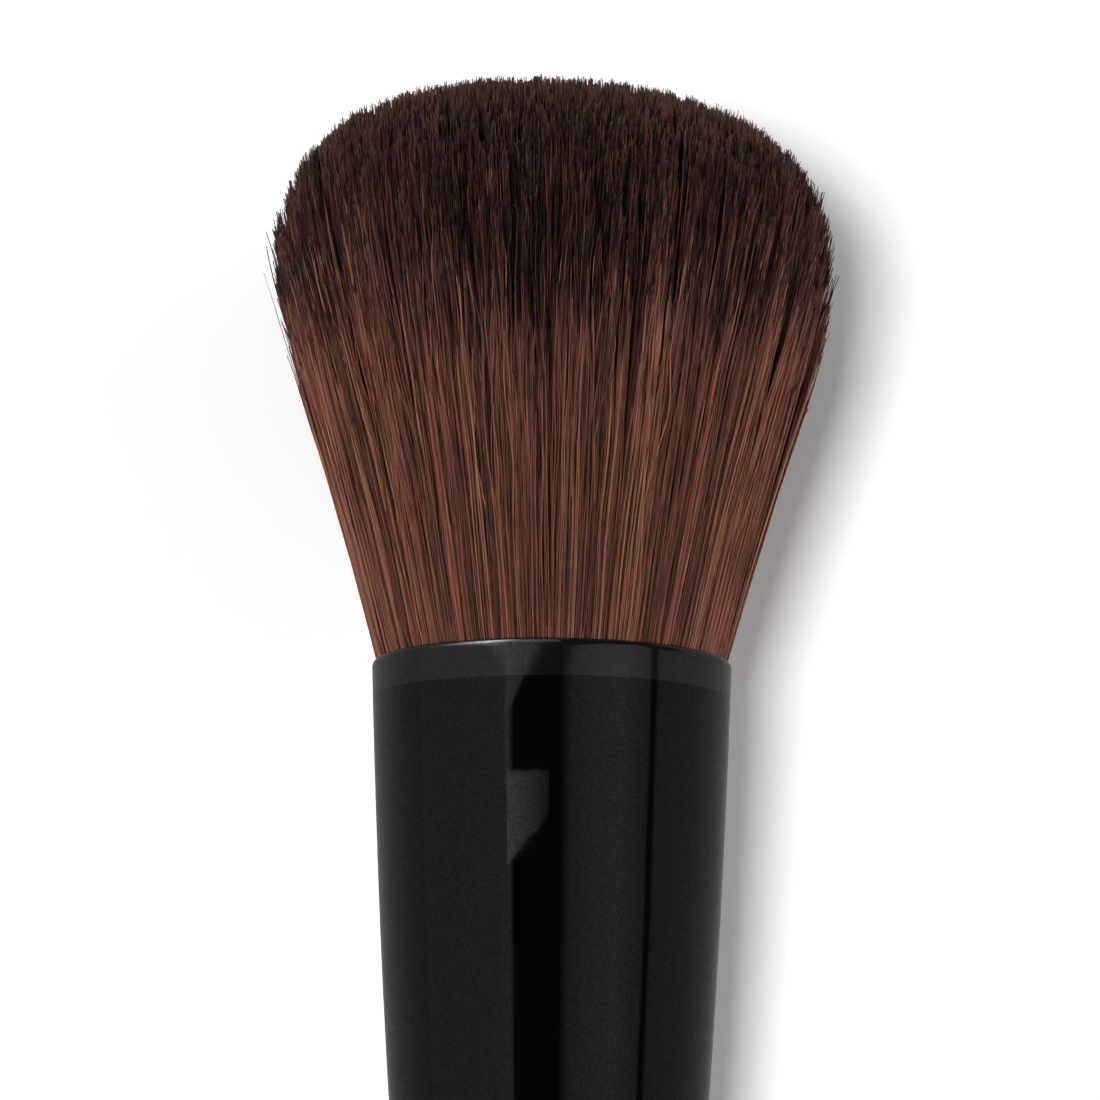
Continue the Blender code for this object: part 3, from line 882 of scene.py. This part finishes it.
def hairPlace(given, held, up, height, heightShare, rootShare, rim):
    # Hairs lean to the middle of their clump and lock, more so towards the tip
    gather = mapped(heightShare, 0.0, given["leanHeight"], interpolation="SMOOTHSTEP")
    lockPull = maths("MULTIPLY_ADD", rim, given["rimGather"], given["lockPull"])
    toClump = vectors("SUBTRACT", held["clump"], held["root"])
    toClump = vectors("SCALE", toClump, scale=maths("MULTIPLY", gather, given["clumpPull"]))
    toLock = vectors("SUBTRACT", held["lock"], held["root"])
    toLock = vectors("SCALE", toLock, scale=maths("MULTIPLY", gather, lockPull))
    lean = vectors("ADD", held["root"], vectors("ADD", toClump, toLock))
    radius = hairRadius(given, height, heightShare)
    place = vectors("SCALE", vectors("MULTIPLY", lean, (1.0, 1.0, 0.0)), scale=radius)

    # Waves that a clump shares, a finer frizz of each hair's own, and a bent tip
    grow = mapped(heightShare, 0.0, given["waveHeight"], given["waveAtMouth"], 1.0)
    chance = separate(held["chanceA"])
    isLoose = maths("GREATER_THAN", chance["Y"], maths("SUBTRACT", 1.0, given["looseShare"]))
    frizz = maths("MULTIPLY", given["frizz"], maths("MULTIPLY_ADD", isLoose, given["looseFrizz"], 1.0))
    for key, size, length in (
        (held["clumpChance"], given["waveSize"], given["waveLength"]),
        (held["chanceB"], frizz, given["frizzLength"]),
    ):
        wave = hairWave(given, held, key, height, length, maths("MULTIPLY", grow, size))
        place = vectors("ADD", place, wave)
    bend = maths("MULTIPLY", maths("POWER", up, given["hookPower"]), given["hook"])
    place = vectors("ADD", place, vectors("SCALE", centred(held["chanceB"], 2.0), scale=bend))

    # A few stray hairs stand off the head
    isStray = maths("LESS_THAN", chance["Y"], given["strayShare"])
    isStray = maths("MULTIPLY", isStray, maths("GREATER_THAN", rootShare, given["strayRim"]))
    far = maths("MULTIPLY", given["straySize"], maths("MULTIPLY", chance["Z"], given["strayScatter"]))
    grown = maths("POWER", heightShare, given["strayPower"])
    off = maths("MULTIPLY", maths("MULTIPLY", isStray, grown), far)
    place = vectors("ADD", place, vectors("SCALE", held["root"], scale=off))
    return vectors("ADD", place, combine(0.0, 0.0, height))


def layDown(given, strands, chance):
    # Laid down with the brush; what would go under the table lies on it
    laid = passOn("Transform", strands, Translation=given["mouthPlace"], Rotation=given["mouthTurn"])
    spot = separate(fedNode("GeometryNodeInputPosition", [laid]).outputs[0])
    least = maths("MULTIPLY_ADD", chance, given["tablePile"], given["tableRest"])
    least = maths("MULTIPLY", given["filamentRadius"], least)
    lifted = combine(spot["X"], spot["Y"], maths("MAXIMUM", spot["Z"], least))
    return passOn("SetPosition", laid, Position=lifted)


def hairShade(given, held, chance):
    # A whole number for each hair: its clump's zone of dye, then its own shade in it
    perClump = float(bristleFibre["shadesPerClump"])
    zones = bristleFibre["shades"] / perClump
    toSide = maths("POWER", maths("ABSOLUTE", separate(held["root"])["X"]), sideDyePower)
    ofLock = separate(held["lockChance"])["X"]
    zone = maths("MULTIPLY_ADD", ofLock, given["zoneByLock"], given["zoneLeast"])
    zone = maths("MULTIPLY_ADD", toSide, given["zoneToSide"], zone)
    zone = maths("FLOOR", maths("MULTIPLY", maths("MINIMUM", zone, 0.999), zones))
    return maths("MULTIPLY_ADD", zone, perClump, maths("FLOOR", maths("MULTIPLY", chance, perClump)))


def skinStrands(tree, given, held, strands, left, up, heightShare):
    # Three-sided hairs round the strands, with the values that the material reads
    chance = separate(held["chanceB"])
    mark = maths("MULTIPLY", maths("MINIMUM", heightShare, 1.0), bristleFibre["markSpan"])
    isTip = maths("LESS_THAN", left, 0.001)
    mark = maths("MULTIPLY_ADD", isTip, maths("SUBTRACT", bristleFibre["tipMark"], mark), mark)
    shade = hairShade(given, held, chance["Z"])
    taper = mapped(up, given["taperFrom"], 1.0, 1.0, given["tipWidth"], "SMOOTHSTEP")
    thick = maths("MULTIPLY_ADD", chance["Y"], given["thickScatter"], given["thinnest"])
    thick = maths("MULTIPLY", maths("MULTIPLY", thick, taper), given["filamentRadius"])
    strands = storeNamed(strands, "mark", "FLOAT", "POINT", mark)
    strands = storeNamed(strands, "shade", "FLOAT", "POINT", shade)
    tilt = maths("MULTIPLY", separate(held["chanceA"])["Z"], math.tau)
    strands = passOn("SetCurveTilt", strands, Tilt=tilt)
    strands = passOn("SetCurveRadius", strands, Radius=thick)
    ring = addNode(tree, "GeometryNodeCurvePrimitiveCircle")
    feedAll(ring, Resolution=3, Radius=1.0)
    around = captured(ring.outputs[0], around=splineShare(tree))
    skin = {"Profile Curve": around["Geometry"], "Scale": thick, "Fill Caps": True}
    hairs = passOn("CurveToMesh", strands, **skin)
    row = maths("ADD", shade, maths("MULTIPLY_ADD", around["around"], 0.7, 0.15))
    row = maths("DIVIDE", row, float(bristleFibre["shades"]))
    return storeNamed(hairs, "OFBake", "FLOAT2", "CORNER", combine(mark, row))


def buildBristleTree(values):
    # One tree for every piece of both heads, with an input for each value of a piece
    kinds = {
        int: "NodeSocketInt", float: "NodeSocketFloat", tuple: "NodeSocketVector",
        bpy.types.Material: "NodeSocketMaterial",
    }
    tree = bpy.data.node_groups.new("bristleHead", "GeometryNodeTree")
    tree.interface.new_socket("Geometry", in_out="OUTPUT", socket_type="NodeSocketGeometry")
    tree.interface.new_socket("Geometry", in_out="INPUT", socket_type="NodeSocketGeometry")
    for name, value in values.items():
        tree.interface.new_socket(name, in_out="INPUT", socket_type=kinds[type(value)])
    given = addNode(tree, "NodeGroupInput").outputs
    strands, along, held = plantStrands(tree, given)
    left = maths("SUBTRACT", 1.0, along)
    up = maths("SUBTRACT", 1.0, maths("POWER", left, given["tipCloseness"]))
    rootShare = maths("MINIMUM", vectors("LENGTH", held["root"]), 1.0)
    rim = maths("POWER", rootShare, given["rimPower"])
    tip = tipHeight(given, held, rootShare, rim)
    root = maths("SUBTRACT", tip, given["strandLength"])
    root = maths("MAXIMUM", root, maths("MULTIPLY", given["sliceDepth"], -1.0))
    height = maths("ADD", root, maths("MULTIPLY", up, maths("SUBTRACT", tip, root)))
    heightShare = maths("MAXIMUM", maths("DIVIDE", height, given["topHeight"]), 0.0)
    place = hairPlace(given, held, up, height, heightShare, rootShare, rim)
    strands = passOn("SetPosition", strands, Position=place)
    strands = layDown(given, strands, separate(held["chanceB"])["X"])
    hairs = skinStrands(tree, given, held, strands, left, up, heightShare)
    hairs = passOn("SetShadeSmooth", hairs)
    hairs = passOn("RealizeInstances", hairs)
    hairs = passOn("SetMaterial", hairs, Material=given["material"])
    feedAll(addNode(tree, "NodeGroupOutput"), Geometry=hairs)
    return tree


def growPiece(name, tree, values):
    # Runs the tree on an empty mesh and keeps the result as a plain mesh
    piece = addObject(name, bpy.data.meshes.new(name))
    modifier = piece.modifiers.new("bristles", "NODES")
    modifier.node_group = tree
    for socket in tree.interface.items_tree:
        if socket.name in values:
            modifier[socket.identifier] = values[socket.name]
    graph = bpy.context.evaluated_depsgraph_get()
    mesh = bpy.data.meshes.new_from_object(piece.evaluated_get(graph))
    piece.modifiers.clear()
    piece.data = mesh
    mesh.name = name
    return piece


def headPlace(end):
    # Each head stands on its own mouth
    if end == "large":
        return brushPlace
    return brushPlace @ Matrix.Translation((0, 0, -brushBody["length"])) @ Matrix.Rotation(math.pi, 4, "X")


def pieceValues(end, head, layer, part):
    # What the tree gets for one sector of one layer
    place = headPlace(end)
    values = {**head, **layer, "sectorStart": part / layer["parts"], "sectorSize": 1 / layer["parts"]}
    values.update(mouthPlace=tuple(place.translation), mouthTurn=tuple(place.to_euler()), material=fibre)
    return {name: value for name, value in values.items() if name not in ("layers", "layer", "parts")}


def makeHead(end, head, tree):
    made = 0
    for layer in head["layers"]:
        for part in range(layer["parts"]):
            name = f"{end}Bristles{layer['layer']}{part + 1}"
            piece = growPiece(name, tree, pieceValues(end, head, layer, part))
            finishPiece(piece, "bristle_fibre", end + "_bristle_tuft")
            triangles = sum(len(face.vertices) - 2 for face in piece.data.polygons)
            made += triangles
            print(name, triangles, "triangles")
    print(end, "head:", made, "triangles")


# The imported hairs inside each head, in shares of it, below what the tips show
core = {
    "radius": 0.74,
    "domeRadius": 0.78,
    "topDrop": 0.2,
    "edge": 0.72,
    "side": 0.70,
    "sides": 64,
    "domeSteps": 14,
    "sideSteps": 7,
}


def makeCore(end, head):
    fan = bezierPoints(*fanCurve)

    def ringPoint(share, height):
        spread = readLine(fan, height / head["topHeight"])
        reach = head["mouthRadius"] + (head["spreadRadius"] - head["mouthRadius"]) * spread
        return share * reach, -height

    top = head["topHeight"] - core["topDrop"] * head["topHeight"]
    edge = head["edgeHeight"] * core["edge"]
    points = [(0, -top)]
    for share in evenSteps(0, core["radius"], core["domeSteps"])[1:]:
        flat = (1 - (share / core["domeRadius"]) ** head["domePower"]) ** (1 / head["domePower"])
        points.append(ringPoint(share, edge + (top - edge) * flat))
    for i in range(core["sideSteps"] + 1):
        height = head["edgeHeight"] * core["side"] * (1 - i / core["sideSteps"])
        points.append(ringPoint(core["radius"], height))
    points.append((0, 0))
    if end == "small":
        points = fromSmallEnd(points)
    # The core's near-black finish is painted shade between the outer hairs
    piece = turnedPiece(end + "BristleCore", points, shadedPacked, sides=core["sides"], closed=False)
    finishPiece(piece, "bristle_fibre", end + "_bristle_tuft")


bristleTree = buildBristleTree(pieceValues("large", largeHead, largeHead["layers"][0], 0))
makeHead("large", largeHead, bristleTree)
makeHead("small", smallHead, bristleTree)
makeCore("large", largeHead)
makeCore("small", smallHead)

# Studio: pale floor, soft light, and cards that only the gloss sees

studio = {
    "floorSize": 0.90,
    "floorGrey": 0.86,
    "floorWhite": 1.255,  # what the camera sees in its place
    "ambient": 0.14,
    "boardGlow": 0.20,
    "boardSize": 1.2,
    "boardHeight": 0.3 * mm,
}

# Lamps by angle from straight up towards -X; a share of 1 renders white as white
# Sizes are along the brush and across it
keyLamp = {
    "share": 0.64, "angle": math.radians(9.2), "back": math.radians(6), "distance": 0.60,
    "size": (0.134, 0.134), "turn": math.radians(45),
}
leftLamp = {
    "share": 0.42, "angle": math.radians(80), "back": 0.0, "distance": 0.50,
    "size": (0.60, 0.18), "turn": 0.0,
}
rightLamp = dict(leftLamp, share=0.70, angle=-leftLamp["angle"])

# What the gloss shows: a tent round the brush, by angle from straight up towards +X in degrees
tent = {
    "radius": 0.50,
    "length": 3000,  # in millimetres, as the edges of the cards
    "steps": 100,
    "cardInset": 10 * mm,  # how far inside it the cards hang
    "levels": (
        (-100, 0.22), (-60, 0.29), (-34, 0.32), (-26, 0.37), (-23.5, 0.018), (6, 0.018),
        (13, 0.25), (28, 0.36), (44, 0.40), (56, 0.28), (62.5, 0.22), (64.8, 0.03), (67.6, 0.03),
        (70, 0.20), (100, 0.22),
    ),
}

# Lighter cards inside the tent: their edges by angle and by millimetres along Y, and their glow by angle
glowCards = {
    "lampPatch": {
        "upper": ((-27.6, 33.8), (-15.5, 30.2), (-1.3, 28.6)),
        "lower": ((-27.6, 16.9), (-16.5, 17.3), (-8.2, 18.2), (-3.2, 20.7), (-1.3, 21.8)),
        "levels": ((-28, 0.85), (-1, 0.15)),
    },
    "panelCorner": {
        "upper": ((-28, 340), (6, 340)),
        "lower": (
            (-28, 44.4), (-25.2, 44.4), (-21.4, 45.7), (-17.6, 47.5),
            (-13.3, 48.5), (-8.5, 49.3), (-4.2, 49.8), (0.6, 50.5), (6, 60),
        ),
        "levels": ((-28, 0.62), (-22, 0.46), (-15, 0.42), (-10, 0.32), (-4, 0.15), (0, 0.08), (6, 0.03)),
    },
    "gapEdge": {
        "upper": ((-29.4, 47), (-26.4, 47)),
        "lower": ((-29.4, 31), (-26.4, 31)),
        "levels": ((-29.4, 0.36), (-27.6, 0.56), (-26.4, 0.45)),
    },
    "leftBeyond": {
        "upper": ((-100, 1490), (-28, 1490)),
        "lower": (
            (-100, 270), (-77, 330), (-58, 193), (-43.4, 104), (-38.5, 68),
            (-35.5, 60), (-32.4, 57.5), (-29.9, 55.9), (-28, 54),
        ),
        "levels": ((-100, 0.4), (-60, 0.8), (-40, 1.2), (-28, 0.75)),
    },
    "rightBeyond": {
        "upper": ((8, 1490), (100, 1490)),
        "lower": (
            (8, 49.5), (10.8, 49.9), (11.4, 50.8), (13.8, 51.8), (18.1, 53.8),
            (31, 230), (58, 340), (61.5, 250), (62.5, 190), (64.9, 77),
            (66.5, 77), (72, 120), (100, 200),
        ),
        "levels": ((8, 0.03), (100, 0.03)),
    },
    "rimLamp": {
        "inset": 20 * mm,
        "upper": ((-80, 1490), (6, 1490)),
        "lower": ((-80, 330), (6, 330)),
        "levels": (
            (-80, 0.4), (-70, 2.0), (-60, 4.0), (-50, 6.5), (-44, 6.0), (-36, 2.8), (-28, 1.2),
            (-20, 1.0), (-12, 0.8), (-3, 0.65), (6, 0.4),
        ),
    },
}


def seenRay(tree):
    # 1 for rays that show the surroundings themselves, 0 for those that only carry their light
    path = addNode(tree, "ShaderNodeLightPath").outputs
    seen = maths("MAXIMUM", path["Is Camera Ray"], path["Is Glossy Ray"])
    return maths("MAXIMUM", seen, path["Is Transmission Ray"])


def onlyGlossSees(obj):
    for ray in ("camera", "diffuse", "shadow", "transmission", "volume_scatter"):
        setattr(obj, "visible_" + ray, False)


def grey(level):
    return level, level, level, 1.0


def bareMaterial(name, kind):
    # A material of one shader alone
    material = bpy.data.materials.new(name)
    material.use_nodes = True
    tree = material.node_tree
    tree.nodes.clear()
    shader = addNode(tree, kind)
    feedAll(addNode(tree, "ShaderNodeOutputMaterial"), Surface=shader.outputs[0])
    return material, tree, shader


def flatPiece(name, size, height, material):
    shell = bmesh.new()
    bmesh.ops.create_grid(shell, x_segments=1, y_segments=1, size=0.5)
    bmesh.ops.transform(shell, matrix=Matrix.Diagonal((size, size, 1, 1)), verts=shell.verts)
    bmesh.ops.translate(shell, vec=(0, 0, height), verts=shell.verts)
    sheet = addObject(name, meshFrom(shell, name, material))
    return sheet


def makeFloor():
    material, tree, paint = bareMaterial("paleFloor", "ShaderNodeBsdfDiffuse")
    level = mapped(seenRay(tree), 0.0, 1.0, studio["floorGrey"], studio["floorWhite"])
    feedAll(paint, Color=combine(level, level, level))
    flatPiece("floor", studio["floorSize"], 0.0, material)


def makeBoard():
    # A grey board under the brush, which its gloss shows in place of the bright floor
    material, tree, paint = bareMaterial("greyBoard", "ShaderNodeEmission")
    feedAll(paint, Color=grey(studio["boardGlow"]))
    onlyGlossSees(flatPiece("greyBoard", studio["boardSize"], studio["boardHeight"], material))


def makeWorld():
    world = bpy.data.worlds.new("paleStudio")
    bpy.context.scene.world = world
    world.use_nodes = True
    tree = world.node_tree
    strength = mapped(seenRay(tree), 0.0, 1.0, studio["ambient"], 1.0)
    feedAll(tree.nodes["Background"], Color=grey(1.0), Strength=strength)


def angleGlow(name, levels):
    # Glows by the angle from straight up
    material, tree, glow = bareMaterial(name, "ShaderNodeEmission")
    place = separate(objectPlace(tree))
    first, last = levels[0][0], levels[-1][0]
    angle = maths("ARCTAN2", place["X"], place["Z"])
    ramp = addNode(tree, "ShaderNodeValToRGB")
    stops = ramp.color_ramp.elements
    for degrees, level in levels[1:-1]:
        stops.new((degrees - first) / (last - first))
    for stop, (degrees, level) in zip(stops, levels):
        stop.color = grey(level)
    feed(ramp.inputs[0], mapped(angle, math.radians(first), math.radians(last)))
    feed(glow.inputs["Color"], ramp.outputs["Color"])
    return material


def glossCard(name, radius, lower, upper, levels):
    # A curved sheet between two edges, each of angles and places along Y, that only the gloss sees
    def corner(edge, degrees):
        angle = math.radians(degrees)
        return radius * math.sin(angle), readLine(edge, degrees) * mm, radius * math.cos(angle)

    shell = bmesh.new()
    turns = evenSteps(upper[0][0], upper[-1][0], tent["steps"])
    for a, b in zip(turns, turns[1:]):
        corners = corner(lower, a), corner(lower, b), corner(upper, b), corner(upper, a)
        shell.faces.new([shell.verts.new(place) for place in corners])
    bmesh.ops.remove_doubles(shell, verts=shell.verts, dist=0.01 * mm)
    card = addObject(name, meshFrom(shell, name, angleGlow(name, levels)))
    onlyGlossSees(card)


def makeTent():
    first, last = tent["levels"][0][0], tent["levels"][-1][0]
    lower, upper = (((first, place), (last, place)) for place in (-tent["length"] / 2, tent["length"] / 2))
    glossCard("softTent", tent["radius"], lower, upper, tent["levels"])
    for name, card in glowCards.items():
        radius = tent["radius"] - card.get("inset", tent["cardInset"])
        glossCard(name, radius, card["lower"], card["upper"], card["levels"])


def makeLamp(name, lamp):
    # A soft box that lights but isn't mirrored
    way = Vector((-math.sin(lamp["angle"]), -math.sin(lamp["back"]), math.cos(lamp["angle"]))).normalized()
    data = bpy.data.lights.new(name, "AREA")
    data.shape = "RECTANGLE"
    data.size, data.size_y = lamp["size"]
    data.energy = lamp["share"] * math.pi ** 2 * lamp["distance"] ** 2
    light = addObject(name, data)
    light.location = Vector(shot["target"]) + way * lamp["distance"]
    aim = way.to_track_quat("Z", "Y") @ Quaternion((0, 0, 1), lamp["turn"])
    light.rotation_euler = aim.to_euler()
    light.visible_camera = False
    light.visible_glossy = False


def makeCamera():
    data = bpy.data.cameras.new("overhead")
    camera = addObject("overhead", data)
    elevation = shot["elevation"]
    back = Vector((0, -math.cos(elevation), math.sin(elevation)))
    camera.location = Vector(shot["target"]) + back * shot["distance"]
    tilt = Matrix.Rotation(math.pi / 2 - elevation, 3, "X")
    camera.rotation_euler = (tilt @ Matrix.Rotation(shot["roll"], 3, "Z")).to_euler()
    data.sensor_width = shot["sensorWidth"]
    data.lens = data.sensor_width * shot["distance"] / shot["imageWidth"]
    data.clip_start, data.clip_end = shot["clip"]
    bpy.context.scene.camera = camera


makeFloor()
makeWorld()
makeTent()
makeBoard()
makeLamp("keyLight", keyLamp)
makeLamp("leftLight", leftLamp)
makeLamp("rightLight", rightLamp)
makeCamera()
bpy.context.scene.view_settings.view_transform = "Standard"
print("studio lit")
